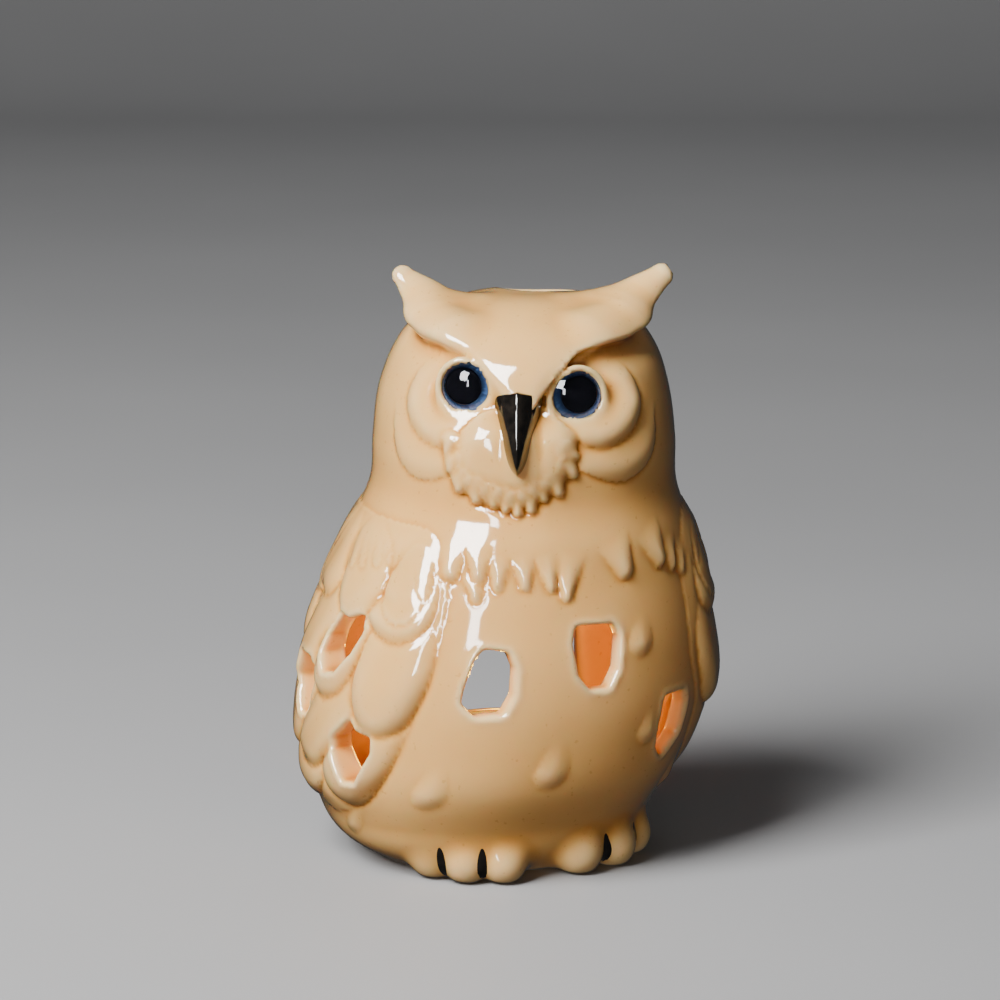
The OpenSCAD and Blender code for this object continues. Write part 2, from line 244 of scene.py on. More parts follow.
# ---------------- relief round the body
# Outlines on the body's chart as (azimuth, height), each with its height over the layer below.
# The owl's right wing; the left one mirrors it.
WING_EDGE = [
    (10, 73), (17, 63), (21, 57), (26.5, 52), (33, 49.5), (38, 46), (44, 43), (52, 41.8), (62, 41.8),
    (70, 47), (78, 52)
]
LOBES = {
    "low_rear": (1.0, [
        (-92, 26), (-106, 24), (-108, 17), (-101, 13), (-93, 13.5), (-84, 17), (-81, 24)
    ]),
    "low_front": (1.5, [
        (-60, 37), (-72.5, 29.5), (-79, 24), (-79.5, 19.5), (-75.5, 16.5), (-68.5, 15), (-62, 16.5),
        (-56.5, 20.5), (-52.5, 25), (-49.5, 30.5), (-47.5, 36)
    ]),
    "mid_back": (1.1, [
        (-105, 44), (-118, 34), (-120, 26), (-113, 21.5), (-104, 23), (-97, 30), (-95, 40)
    ]),
    "mid_rear": (1.3, [
        (-74, 42), (-82.5, 38), (-92, 31), (-98, 25.5), (-96.5, 22), (-90, 20.5), (-83.5, 21.5),
        (-76.5, 25.5), (-70.5, 31), (-66.5, 36), (-66.5, 41)
    ]),
    "mid_front": (1.5, [
        (-57, 57), (-64, 51), (-67, 44.5), (-67.5, 39.5), (-66, 35.5), (-63, 32.7), (-58, 31.3),
        (-53, 32), (-48.5, 34.5), (-45.5, 38.5), (-43, 43.5), (-42.5, 49), (-46, 55)
    ]),
    "upper_back": (1.1, [
        (-116, 62), (-126, 53), (-127, 46), (-120, 41), (-111, 43), (-105, 50), (-105, 60)
    ]),
    "upper_rear": (1.3, [
        (-92, 60), (-101, 52), (-108, 43), (-107, 37), (-101, 35), (-93.5, 38), (-88, 44), (-83, 52),
        (-83, 60)
    ]),
    "upper_mid": (1.5, [
        (-73, 58), (-81, 52), (-87.5, 46), (-88.5, 40.5), (-85.5, 37), (-79.5, 36.3), (-73, 38.5),
        (-68.5, 43.5), (-66, 49), (-65, 55)
    ]),
    "upper_front": (1.3, [
        (-56, 63), (-64, 58), (-67, 56), (-66, 53.5), (-61.5, 51.3), (-56, 50.3), (-50.5, 51),
        (-46, 53.5), (-44.5, 57.5), (-46, 62)
    ]),
    "shoulder_back": (1.0, [
        (-104, 72), (-114, 65), (-115, 59), (-109, 54), (-101, 55), (-97, 62), (-97, 70)
    ]),
    "shoulder_rear": (1.0, [
        (-95, 72), (-101, 66), (-106, 60), (-104, 56), (-96, 54.5), (-90, 56), (-86.5, 61), (-88, 68)
    ]),
    "shoulder_mid": (1.2, [
        (-80, 72), (-87, 67), (-86.5, 60), (-84, 55.5), (-79, 52.7), (-73.5, 52.7), (-68, 54.3),
        (-65, 57.5), (-63.5, 61), (-65.5, 68)
    ]),
    "shoulder_front": (1.0, [
        (-55, 69), (-61, 64), (-63, 60), (-60.5, 56), (-56, 54), (-51.5, 54.5), (-48.5, 57), (-47, 61),
        (-49, 67)
    ]),
}
# Short strokes on the shoulder: root, tip, radius
SHOULDER_STROKES = [
    ((-79, 68), (-76, 62.5), 1.1), ((-71.5, 69), (-69, 63.5), 1.1),
    ((-84, 69), (-82.5, 62), 1.2), ((-62, 69), (-63.5, 64), 1.2),
]
LEFT_WING_TURN = 5
WING_PLATE, WING_BEVEL = 1.2, 6.5
WING_CHART_R = 38

# Soft drops on the belly: (azimuth, height of the drop's lower end, radius)
DROPS = [(-41.3, 16.8, 3.6), (-3.5, 21.3, 3.6), (27.5, 28, 2.8), (21, 46.5, 3.0), (-74, 8, 2.4), (58, 14, 3)]

# Locks of the collar as (azimuth, height): root, tip, radius at the root and at the tip
COLLAR = [
    ((-50.5, 69), (-47, 58.5), 1.6, 1.9),
    ((-43.5, 73), (-42, 62.6), 2.4, 2.0),
    ((-36, 67), (-32.3, 58.8), 2.1, 1.1),
    ((-35, 73), (-32.5, 62.6), 2.4, 1.5),
    ((-27, 71), (-26.2, 61), 2.0, 1.1),
    ((-20.5, 71), (-17.2, 61), 2.1, 1.2),
    ((-13, 71), (-8.8, 60.6), 2.1, 1.2),
    ((-2.5, 72), (-4.3, 58.6), 3.3, 1.3),
    ((10, 73), (17.6, 62), 3.6, 2.1),
    ((25, 74), (33, 63), 3.3, 1.8),
    ((38.5, 71), (38.2, 61.5), 1.8, 1.2),
    ((47.5, 70), (43, 60), 1.8, 1.2),
    ((56, 71), (52, 61), 1.9, 1.3),
]


def on_body(azimuth, height):
    """Chart coordinates of a point given by azimuth and height."""
    return azimuth * math.pi / 180 * np.interp(height, TABLE_Z, CHART_R), height


def rounded_outline(corners, cuts=4):
    """Closed smooth curve through the corners."""
    c = np.asarray(corners, float)
    before, after, beyond = np.roll(c, 1, 0), np.roll(c, -1, 0), np.roll(c, -2, 0)
    points = []
    for k in range(cuts):
        t = k / cuts
        points.append(
            0.5 * (2 * c + (after - before) * t + (2 * before - 5 * c + 4 * after - beyond) * t**2
                   + (3 * c - before - 3 * after + beyond) * t**3)
        )
    return np.stack(points, 1).reshape(-1, 2)


def lay_lobe(relief, corners, height, base):
    """Broad rounded feather on the wing's plate: flat at its top, raised at its lower end."""
    outline = rounded_outline(corners)
    low, high = outline.min(0) - 3, outline.max(0) + 3
    near = (relief.x > low[0]) & (relief.x < high[0]) & (relief.z > low[1]) & (relief.z < high[1])
    if not near.any():
        return
    distance = np.full(len(relief.x), FAR)
    distance[near] = polygon_field(relief.x[near], relief.z[near], outline)
    along = (high[1] - 3 - relief.z) / (high[1] - low[1] - 6)
    ramp = 0.12 + 0.88 * smooth_step(0.05, 0.75, along)
    relief.lay(distance, height * ramp, 4.0, groove=0.25 * ramp, softness=0.4, edge=0.7, base=base)


def lay_wing(relief, side, azimuth):
    """One wing: a raised plate with rows of feathers; side is -1 for the owl's right wing."""
    turn = 0 if side < 0 else LEFT_WING_TURN
    front = smooth_curve(WING_EDGE, relief.z) + turn * 0.3
    behind_edge = (front - azimuth * side) * math.pi / 180 * WING_CHART_R
    outline = smooth_max(smooth_max(behind_edge, 12 - relief.z, 8), relief.z - 72, 6)
    outline = np.where(azimuth * side > 0, outline, FAR)
    relief.lay(outline, WING_PLATE, WING_BEVEL, groove=0, softness=0.8, edge=1)
    plate = pillow(outline, WING_PLATE, WING_BEVEL, 1)
    for name, (height, corners) in LOBES.items():
        if side > 0 and name.startswith("low"):
            continue
        lay_lobe(relief, [on_body(-side * a + side * turn, z) for a, z in corners], height, plate)
    for root, tip, radius in SHOULDER_STROKES:
        ends = [on_body(-side * a + side * turn, z) for a, z in (root, tip)]
        relief.feather(*ends, radius * 0.7, radius, 0.45, bevel=1.0, groove=0.15, lift=0.1)


# Rows of scale feathers on the back: height of the tips, how many, degrees to each side
BACK_ROWS = [(46, 4, 34), (54, 5, 38), (62, 4, 32)]
SCALE_LENGTH = 11


def lay_back(relief):
    """Scale feathers on the back, laid on both ends of the chart, which meet there."""
    for height, count, reach in BACK_ROWS:
        for k in range(count):
            offset = (k - (count - 1) / 2) * 2 * reach / count
            for turn in (180, -180):
                tip = on_body(turn + offset, height)
                root = (tip[0], height + SCALE_LENGTH)
                relief.feather(root, tip, 4, 6.0, 1.1, bevel=2.8, groove=0.12, lift=0.0)


def lay_collar(relief):
    """Locks where the head's plumage ends over the breast."""
    for root, tip, r_root, r_tip in COLLAR:
        a, b = on_body(*root), on_body(*tip)
        relief.feather(a, b, r_root + 0.9, r_tip, 1.15, bevel=3.0, groove=0.12, lift=0.0, start=0.2,
                       edge=0.85)


def body_relief(p):
    """Height of the plumage over the plain body."""
    azimuth = body_azimuth(p)
    z = p[:, 2]
    relief = Relief(azimuth * math.pi / 180 * np.interp(z, TABLE_Z, CHART_R), z)
    for azimuth_at, low, radius in DROPS:
        x = on_body(azimuth_at, low)[0]
        relief.feather((x, low + radius * 3), (x, low), radius * 0.4, radius, 0.75, bevel=3.6,
                       groove=0.0, lift=0.0, edge=1)
    for side in (-1, 1):
        lay_wing(relief, side, azimuth)
    lay_back(relief)
    lay_collar(relief)
    # the middle of the body is sunk a little, so that the plumage doesn't widen the outline
    relief.height -= 0.8 * smooth_step(15, 30, z) * (1 - smooth_step(60, 72, z))
    # a soft bead of glaze round each window
    for window in WINDOWS:
        d = window_field(p, *window)
        relief.height += 0.25 * np.exp(-(((d - 0.6) / 0.8) ** 2))
    return relief.height


# ---------------- relief round the face
# Line of the brow on the head's chart: distance from the middle of the face, height
BROW_LINE = [
    (0, 95), (2.5, 96), (4.5, 98.6), (7.2, 102), (12, 105.8), (18, 107.6), (28.5, 108.6), (36, 111),
    (41, 115), (44, 118.5), (60, 124),
]
BROW_TABLE = smooth_curve(BROW_LINE, np.arange(0, 60, 0.1))
# Outlines round the left eye, from the middle of the face outward
EYE_DISC = [
    (9, 104), (14, 106.2), (19, 105.6), (22.8, 103.8), (25.2, 100.3), (26, 96), (24, 92),
    (20.3, 89.2), (16, 88), (12, 89.2), (8.5, 92), (7.5, 98),
]
CHEEK = [
    (12, 96), (29, 98), (29.8, 92), (28.6, 86.3), (25, 82.5), (20.6, 80.9), (15.8, 81.8),
    (11, 84.5), (9, 90),
]
MUZZLE = [
    (-5.5, 96), (-10, 93), (-13, 88), (-13, 84.5), (-12, 81), (-9, 78.6), (-5.5, 77.2), (-1.4, 76.4),
    (2.2, 77.2), (4.8, 78.8), (7.6, 81), (9.6, 84), (10.6, 87.5), (10.4, 91), (7.5, 94), (4.5, 96.5),
]
# Pointed tufts round the muzzle: root, the point they aim at, radius; they reach TUFT_REACH of the way
TUFT_REACH = 0.75
FRINGE = [
    ((8.3, 88.5), (11.8, 85.6), 1.3), ((8.4, 85.5), (11.1, 81.4), 1.35),
    ((6.0, 82.2), (8.2, 77.9), 1.5), ((3.5, 81), (5.1, 76.9), 1.3), ((1.6, 79.6), (2.4, 74.5), 1.25),
    ((-0.7, 79), (0.0, 73.9), 1.2), ((-2.8, 79.6), (-2.1, 74.6), 1.2), ((-5, 80), (-4.3, 75.6), 1.3),
    ((-8, 81), (-7.6, 76.1), 1.6), ((-11, 82.6), (-11.3, 78), 1.6), ((-12.6, 86), (-13.4, 81.9), 1.4),
    ((-13.2, 89.5), (-14.4, 85.6), 1.3),
]


def face_relief(p):
    """Height of the face's discs, cheeks, muzzle and brow over the plain head."""
    q = to_head(p)
    angle = np.arctan2(q[:, 0], -q[:, 1])
    x = angle * HEAD_R
    z = q[:, 2]
    relief = Relief(x, z)
    for side in (-1, 1):
        depth = 1.0 if side > 0 else 0.55  # the owl's right side is modelled more softly
        for corners, height, middle, down in (
            (CHEEK, 1.2, (20, 88), (0.35, -0.94)), (EYE_DISC, 1.8, (15, 97), (0.42, -0.91))
        ):
            outline = rounded_outline([(side * a, b) for a, b in corners])
            along = (side * x - middle[0]) * down[0] + (z - middle[1]) * down[1]
            ramp = smooth_step(-4, 5, along)
            relief.lay(polygon_field(x, z, outline), height * depth * ramp, 4.2, groove=0.14 * depth * ramp,
                       softness=0.8, edge=0.8)
        # dished middle of the disc, round the eye
        middle = (side * 12.6, 97.6)
        dish = ellipse(x, z, middle, (9.6, 7.4))
        relief.height -= 1.7 * smooth_step(1.5, -5.0, dish)
    muzzle = polygon_field(x, z, rounded_outline(MUZZLE))
    fade = 1 - smooth_step(90, 98, z)
    relief.lay(muzzle, 1.9 * fade, 4.5, groove=0.15 * fade, softness=0.8, edge=0.7)
    for root, tip, radius in FRINGE:
        end = np.add(root, TUFT_REACH * np.subtract(tip, root))
        relief.feather(root, end, radius * 1.6, radius * 0.8, 1.75, bevel=2.4, lift=0.75, edge=0.7)
    # the brow stands over the eyes: raised above its line and cut back below it
    above = brow_height(x, z)
    strength = 1 - smooth_step(30, 46, np.abs(x))
    beside = smooth_step(0.5, 4, np.abs(x))
    width = 1.3 - 0.6 * np.tanh(x / 3)
    raised = (1.6 + 0.2 * np.tanh(x / 3)) * (1 - smooth_step(104, 122, z))
    cut = -beside * (1.5 + 0.5 * np.tanh(x / 3)) * np.exp(-((np.maximum(-above, 0) / 4.5) ** 2))
    step = smooth_step(-1, 1, above / width)
    relief.height += strength * (raised * step + cut * (1 - step))
    front = 1 - smooth_step(math.radians(70), math.radians(100), np.abs(angle))
    return relief.height * front * smooth_step(71, 74, z)


def ellipse(x, z, middle, size):
    """Near distance to an ellipse's edge, negative inside."""
    scaled = np.hypot((x - middle[0]) / size[0], (z - middle[1]) / size[1])
    return (scaled - 1) * min(size)


def brow_height(x, z):
    """How far a point of the head's chart lies above the line of the brow, square to that line."""
    index = np.clip(np.abs(x) * 10, 0, len(BROW_TABLE) - 1)
    line = np.interp(index, np.arange(len(BROW_TABLE)), BROW_TABLE)
    slope = np.interp(index, np.arange(len(BROW_TABLE)), np.gradient(BROW_TABLE, 0.1))
    return (z - line) / np.sqrt(1 + slope**2)


# ---------------- solid parts of the field
# Ear tufts of the owl's right (-1) and left (1) side: sideways, back, height, radius
EARS = {
    -1: [
        (13.5, -16.5, 106.0, 6.5), (18.4, -8.5, 109.2, 5.9), (20.6, -4.6, 113.2, 3.9),
        (23.8, -3.2, 117.2, 2.1),
    ],
    1: [
        (13.5, -16.5, 106.0, 6.5), (20.3, -8.5, 109.3, 6.0), (23.6, -4.6, 113.0, 3.8),
        (27.9, -3.2, 117.8, 1.8),
    ],
}
# Back edge of the tufts, from the crown outward
EAR_BACK = [(11.0, -5.5, 107.6, 5.8), (17.0, -4.5, 110.0, 5.0)]


def chain(p, points, k):
    """Round cones along a list of points, melted together."""
    d = None
    for a, b in zip(points, points[1:]):
        cone = round_cone(p, a[:3], b[:3], a[3], b[3])
        d = cone if d is None else smooth_min(d, cone, k)
    return d


def ear_field(q, side):
    """Ear tuft, cut off below along the line of the brow."""
    points = [(side * x, y, z, r) for x, y, z, r in EARS[side]]
    back = [(side * x, y, z, r) for x, y, z, r in EAR_BACK]
    tuft = smooth_min(chain(q, points, 2.0), chain(q, back + points[-1:], 3.0), 3.5)
    x = np.arctan2(q[:, 0], -q[:, 1]) * HEAD_R
    below = -brow_height(x, q[:, 2]) - 0.3
    return smooth_max(tuft, below, 1.2 if side > 0 else 3.5)


# Feet: azimuth, degrees between two toes, radius of the toes, distance of their tips
FEET = ((-35.4, 14.6, 4.6, 33.6), (33.0, 18.9, 4.9, 31.8))


def toe_axis(azimuth):
    turn = math.radians(azimuth)
    return np.array([math.sin(turn), -math.cos(turn), 0.0])


def foot_field(p):
    """Two paws of three fat toes that melt into each other."""
    d = None
    for azimuth, step, r, reach in FEET:
        for k in (-1, 0, 1):
            out = toe_axis(azimuth + k * step)
            tip = out * (reach - r - 0.8 * abs(k)) + (0, 0, r - 0.6)
            root = out * (reach - 16) + (0, 0, 7.5)
            toe = round_cone(p, tip, root, r, 5.2)
            d = toe if d is None else smooth_min(d, toe, 1.7)
    return d


# Windows: (azimuth, height, azimuth they are cut along), then corners as (sideways, up), and how
# round they are
BREAST_WINDOWS = [
    ((-24.8, 43.5, 2), [
        (0.2, 6.6), (3.4, 6.2), (4.2, 3.6), (3.6, -2.5), (1.6, -6.3), (-3.0, -6.8), (-4.6, -5.0),
        (-3.4, -0.5), (-1.4, 4.6)
    ], 1.6),
    ((6.9, 47.6, 10), [
        (-3.9, 6.3), (3.8, 6.0), (4.6, 4.3), (3.5, -3.0), (1.4, -6.5), (-1.6, -6.4), (-3.8, -3.6),
        (-4.7, 3.6)
    ], 1.3),
    ((37.5, 31.0, 36), [
        (-2.7, 6.2), (3.3, 6.2), (4.1, 4.2), (3.7, -3.0), (-0.8, -6.8), (-2.8, -4.6), (-3.4, 0.0)
    ], 1.1),
]
RIGHT_WING_WINDOWS = [
    ((-75.5, 47.6, -75.5), [
        (-2.6, 5.2), (0.8, 4.6), (5.2, 6.2), (5.8, 4.0), (3.9, -0.6), (-0.2, -5.4), (-3.6, -6.2),
        (-5.9, -3.0), (-5.6, 0.2)
    ], 0.9),
    ((-65.8, 26.6, -65.8), [
        (-0.8, 6.2), (1.2, 4.6), (5.2, 3.9), (5.4, 1.8), (0.9, -5.6), (-1.4, -5.8), (-5.4, 0.2),
        (-5.2, 2.2)
    ], 0.9),
    ((-96.0, 36.0, -96.0), [
        (-2.6, 6.4), (2.6, 6.4), (4.6, 1.5), (1.2, -6.4), (-1.4, -6.4), (-4.6, 1.0)
    ], 1.0),
]
LEFT_WINDOW_TURN = 12
WINDOWS = BREAST_WINDOWS + RIGHT_WING_WINDOWS + [
    ((LEFT_WINDOW_TURN - azimuth, height, LEFT_WINDOW_TURN - cut), [(-x, z) for x, z in corners], rounding)
    for (azimuth, height, cut), corners, rounding in RIGHT_WING_WINDOWS
]


def polygon_field(x, z, corners):
    """Signed distance to a polygon."""
    pts = np.asarray(corners, float)
    nxt = np.roll(pts, -1, 0)
    best = np.full(len(x), 1e9)
    sign = np.ones(len(x))
    for (ax, az), (bx, bz) in zip(pts, nxt):
        ex, ez = bx - ax, bz - az
        wx, wz = x - ax, z - az
        t = np.clip((wx * ex + wz * ez) / (ex * ex + ez * ez), 0, 1)
        best = np.minimum(best, (wx - ex * t) ** 2 + (wz - ez * t) ** 2)
        above, under, left = z >= az, z < bz, ex * wz > ez * wx
        flip = (above & under & left) | (~above & ~under & ~left)
        sign = np.where(flip, -sign, sign)
    return sign * np.sqrt(best)


def window_local(p, place):
    """Sideways, up and outward coordinates at a window."""
    azimuth, height, cut = place
    turn, cut = math.radians(azimuth), math.radians(cut)
    r = np.interp(height, TABLE_Z, CHART_R)
    x = p[:, 0] - np.interp(height, TABLE_Z, TABLE[3]) - r * math.sin(turn)
    y = p[:, 1] + r * math.cos(turn)
    sideways = x * math.cos(cut) + y * math.sin(cut)
    outward = x * math.sin(cut) - y * math.cos(cut)
    return sideways, p[:, 2] - height, outward


def window_field(p, place, corners, rounding):
    """Distance to a window's opening, cut straight through the wall."""
    sideways, up, outward = window_local(p, place)
    out = np.full(len(p), FAR)
    near = (np.abs(sideways) < 9) & (np.abs(up) < 10) & (outward > -14)
    inset = np.asarray(corners) * (1 - rounding / 6)
    out[near] = polygon_field(sideways[near], up[near], inset) - rounding
    return out


DOOR_START = 18  # the doorway cuts everything from this far behind the middle


def door_field(p):
    """Distance to the rear doorway, a rounded arch on the inside floor."""
    c, s = math.cos(DOOR_TURN), math.sin(DOOR_TURN)
    x, z = np.abs(c * p[:, 0] - s * p[:, 1]), p[:, 2]
    r = DOOR_W / 3
    qx, qz = x - (DOOR_W / 2 - r), np.maximum(z, FLOOR_H + r) - (DOOR_TOP - r)
    d = np.hypot(np.maximum(qx, 0), np.maximum(qz, 0)) + np.minimum(np.maximum(qx, qz), 0) - r
    d = smooth_max(d, FLOOR_H - z, 2.0)
    return smooth_max(d, DOOR_START - s * p[:, 0] - c * p[:, 1], 1.0)


def chimney_field(p):
    """Distance to the round hole through the crown."""
    q = to_head(p)
    x, y = (q[:, k] - CHIMNEY_PLACE[k] for k in (0, 1))
    return np.maximum(np.hypot(x, y) - CHIMNEY_R, 98 - q[:, 2])


def eye_frame(name):
    """An eye's rim's middle in millimetres, and its directions across, up and out."""
    low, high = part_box(name + "_eye_glass")
    middle = (np.array(low) + np.array(high)) / 2 / MM - MIDDLE
    side = 1 if name == "left" else -1
    turn = FACE_TURN + side * EYE_OUT
    out = np.array([math.sin(turn), -math.cos(turn), 0.0])
    across = np.array([math.cos(turn), math.sin(turn), 0.0])
    rim = middle - out * (EYE_DOME - 1.2) / 2
    return rim, across, np.array([0.0, 0.0, 1.0]), out


EYES = {name: eye_frame(name) for name in ("left", "right")}


def eye_local(p, name):
    """Distance from an eye's axis, and distance outward from its rim."""
    rim, across, up, out = EYES[name]
    v = p - rim
    return np.hypot(v @ across, v @ up), v @ out


def socket_field(p):
    """Distance to the two holes that the glass eyes sit in."""
    holes = []
    for name in EYES:
        radial, out = eye_local(p, name)
        dome = np.hypot(radial, out - EYE_DOME + DOME_R) - DOME_R - 0.05
        holes.append(np.maximum(np.maximum(radial - EYE_R - SOCKET_PLAY, -out - SOCKET_DEPTH), dome))
    return np.minimum(*holes)


def clay_field(p):
    """Distance to the ceramic before its eye sockets are cut."""
    sides = body_field(p)
    head_part = smooth_step(70, 75, p[:, 2])
    skin = sides - body_relief(p) * (1 - smooth_step(76, 79, p[:, 2])) - face_relief(p) * head_part
    outer = smooth_max(skin, p[:, 2] - CROWN_H - 0.5, 14)
    q = to_head(p)
    for side in (-1, 1):
        outer = smooth_min(outer, ear_field(q, side), 4.0)
    outer = smooth_min(outer, foot_field(p), 3.0)
    for name in EYES:
        radial, out = eye_local(p, name)
        lid = np.hypot(radial - (EYE_R + LID_OUT), out - 0.05) - LID_R
        lid = smooth_max(lid, brow_height(np.arctan2(q[:, 0], -q[:, 1]) * HEAD_R, q[:, 2]), 1.0)
        outer = smooth_min(outer, lid, 2.0)
    outer = smooth_max(outer, -p[:, 2], 1.2)
    cavity = smooth_max(sides + WALL_T, FLOOR_H - p[:, 2], 4)
    cavity = smooth_max(cavity, p[:, 2] - (CROWN_H - WALL_T), 12)
    for window in WINDOWS:
        cavity = smooth_min(cavity, window_field(p, *window), 1.2)
    cavity = smooth_min(cavity, door_field(p), 1.5)
    cavity = smooth_min(cavity, chimney_field(p), 1.5)
    return smooth_max(outer, -cavity, 1.3)


def owl_field(p):
    """Distance to the whole ceramic, negative inside the clay."""
    return np.maximum(clay_field(p), -socket_field(p))


# ---------------- meshing
def field_mesh(field, low, high, step):
    """Quad mesh of a field's zero surface, with its vertices pulled onto the surface."""
    axes = [np.arange(a, b + step, step) for a, b in zip(low, high)]
    shape = tuple(len(a) for a in axes)
    grid = np.stack(np.meshgrid(*axes, indexing="ij"), -1).reshape(-1, 3)
    sides = body_field(grid)
    coarse = np.minimum(np.abs(sides), np.abs(sides + WALL_T))
    # the field is worked out only near the walls, and all through the crown and the feet
    near = (coarse < 4.5) | (grid[:, 2] > 98) | (grid[:, 2] < 14)
    near &= sides < 9
    values = np.full(len(grid), 3.0)
    values[near] = field(grid[near])
    grid_vdb = openvdb.FloatGrid(background=3.0)
    grid_vdb.copyFromArray(values.reshape(shape).astype(np.float32))
    points, quads = grid_vdb.convertToQuads(isovalue=0.0)
    points = points.astype(float) * step + np.array([a[0] for a in axes])
    for _ in range(3):
        points = pull_onto(points, field)
    return points, quads.astype(int)


def sharpen(points, first, second, reach):
    """Draws the points that are near both surfaces onto the edge where the two meet."""
    near = (np.abs(first(points)) < reach) & (np.abs(second(points)) < reach)
    edge = points[near]
    for _ in range(6):
        edge = pull_onto(pull_onto(edge, first), second)
    points[near] = edge
    return points


def pull_onto(points, field, reach=0.35):
    """One step of each point down the field's slope to its zero surface."""
    h = 0.05
    value = field(points)
    slope = np.stack([field(points + np.eye(3)[k] * h) - value for k in range(3)], 1) / h
    size = np.maximum((slope**2).sum(1), 0.05)
    move = -(value / size)[:, None] * slope
    length = np.linalg.norm(move, axis=1, keepdims=True)
    return points + move * np.minimum(1, reach / np.maximum(length, 1e-9))


def neighbour_mean(points, edges):
    """Mean place of each vertex's neighbours."""
    total = np.stack([
        np.bincount(edges[:, 0], points[edges[:, 1], k], len(points))
        + np.bincount(edges[:, 1], points[edges[:, 0], k], len(points))
        for k in range(3)
    ], 1)
    count = np.bincount(edges.ravel(), minlength=len(points))
    return total / np.maximum(count, 1)[:, None]


def make_object(name, points, faces, body, replaces, material):
    """Mesh object from millimetre points, riding on a body and standing for a CAD node."""
    mesh = bpy.data.meshes.new(name)
    mesh.from_pydata((np.asarray(points) * MM).tolist(), [], [list(f) for f in faces])
    mesh.validate()
    turned = bmesh.new()
    turned.from_mesh(mesh)
    bmesh.ops.recalc_face_normals(turned, faces=turned.faces)
    turned.to_mesh(mesh)
    turned.free()
    obj = bpy.data.objects.new(name, mesh)
    bpy.context.scene.collection.objects.link(obj)
    mesh.shade_smooth()
    mesh.materials.append(material)
    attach(obj, body)
    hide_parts(replaces)
    return obj


def set_attribute(obj, name, values):
    """One number for each vertex, which a material reads by its name."""
    attribute = obj.data.attributes.new(name, "FLOAT", "POINT")
    attribute.data.foreach_set("value", np.asarray(values, np.float32))


def read_all(collection, name, width, kind=float):
    """One property of every element of a mesh, as rows of an array."""
    values = np.zeros(len(collection) * width, kind)
    collection.foreach_get(name, values)
    return values.reshape(-1, width)


# ---------------- materials
class Shader:
    """A material's node tree, with short ways to add nodes."""

    def __init__(self, name, **principled):
        self.material = bpy.data.materials.new(name)
        self.material.use_nodes = True
        self.tree = self.material.node_tree
        self.surface = self.tree.nodes["Principled BSDF"]
        for socket, value in principled.items():
            self.surface.inputs[socket.replace("_", " ")].default_value = value

    def add(self, kind, **settings):
        node = self.tree.nodes.new(kind)
        for key, value in settings.items():
            if key in node.inputs:
                node.inputs[key].default_value = value
            else:
                setattr(node, key, value)
        return node

    def link(self, out, into):
        self.tree.links.new(out, into)

    def noise(self, scale, detail):
        place = self.add("ShaderNodeTexCoord")
        node = self.add("ShaderNodeTexNoise", Scale=scale, Detail=detail)
        self.link(place.outputs["Object"], node.inputs["Vector"])
        return node.outputs["Fac"]

    def ramp(self, factor, stops):
        node = self.add("ShaderNodeValToRGB")
        for _ in range(len(stops) - 2):
            node.color_ramp.elements.new(0.5)
        for element, (place, colour) in zip(node.color_ramp.elements, stops):
            element.position = place
            element.color = (*colour, 1)
        self.link(factor, node.inputs["Fac"])
        return node.outputs["Color"]

    def mix(self, factor, a, b, blend="MIX"):
        node = self.add("ShaderNodeMix", data_type="RGBA", blend_type=blend)
        for name, value in (("Factor", factor), ("A", a), ("B", b)):
            target = next(s for s in node.inputs if s.name == name and s.enabled)
            if isinstance(value, bpy.types.NodeSocket):
                self.link(value, target)
            elif isinstance(value, tuple):
                target.default_value = (*value, 1)
            else:
                target.default_value = value
        return next(s for s in node.outputs if s.enabled)

    def bump(self, height, strength, distance):
        node = self.add("ShaderNodeBump", Strength=strength, Distance=distance)
        self.link(height, node.inputs["Height"])
        self.link(node.outputs["Normal"], self.surface.inputs["Normal"])

    def colour(self, out):
        self.link(out, self.surface.inputs["Base Color"])


def mottled(name, grain, low, high, bump, **principled):
    """Two close shades mixed by a noise. grain is (scale, detail), low and high are (place, colour),
    and bump is (scale, detail, strength, distance)."""
    s = Shader(name, **principled)
    s.colour(s.ramp(s.noise(*grain), [low, high]))
    s.bump(s.noise(*bump[:2]), *bump[2:])
    return s.material


def glaze_material():
    """Translucent amber glaze: pale where it thins over edges, orange brown where it pools."""
    s = Shader("amber_glaze", Roughness=0.09, IOR=1.5, Coat_Weight=1.0, Coat_Roughness=0.02,
               Subsurface_Weight=0.25, Subsurface_Scale=0.003)
    s.surface.inputs["Subsurface Radius"].default_value = (1.0, 0.45, 0.2)
    pool = s.add("ShaderNodeAttribute", attribute_name="pool")
    colour = s.ramp(pool.outputs["Fac"], [
        (0.00, (0.93, 0.67, 0.34)),
        (0.40, (0.88, 0.50, 0.16)),
        (0.58, (0.78, 0.37, 0.085)),
        (0.78, (0.48, 0.16, 0.022)),
        (1.00, (0.22, 0.05, 0.006)),
    ])
    clouds = s.noise(45, 3)
    warm = s.ramp(clouds, [(0.35, (0.95, 0.92, 0.88)), (0.65, (1.0, 1.0, 1.0))])
    colour = s.mix(1.0, colour, warm, "MULTIPLY")
    specks = s.noise(900, 1)
    dots = s.ramp(specks, [(0.24, (0.80, 0.70, 0.58)), (0.30, (1, 1, 1))])
    colour = s.mix(0.6, colour, dots, "MULTIPLY")
    s.colour(colour)
    s.bump(s.noise(160, 2), 0.05, 0.0004)
    return s.material


def black_glaze_material():
    return mottled("black_glaze", (600, 3), (0.3, (0.004, 0.0035, 0.003)), (0.75, (0.018, 0.014, 0.011)),
                   (400, 2, 0.06, 0.0003), Roughness=0.12, Coat_Weight=1.0, Coat_Roughness=0.03)


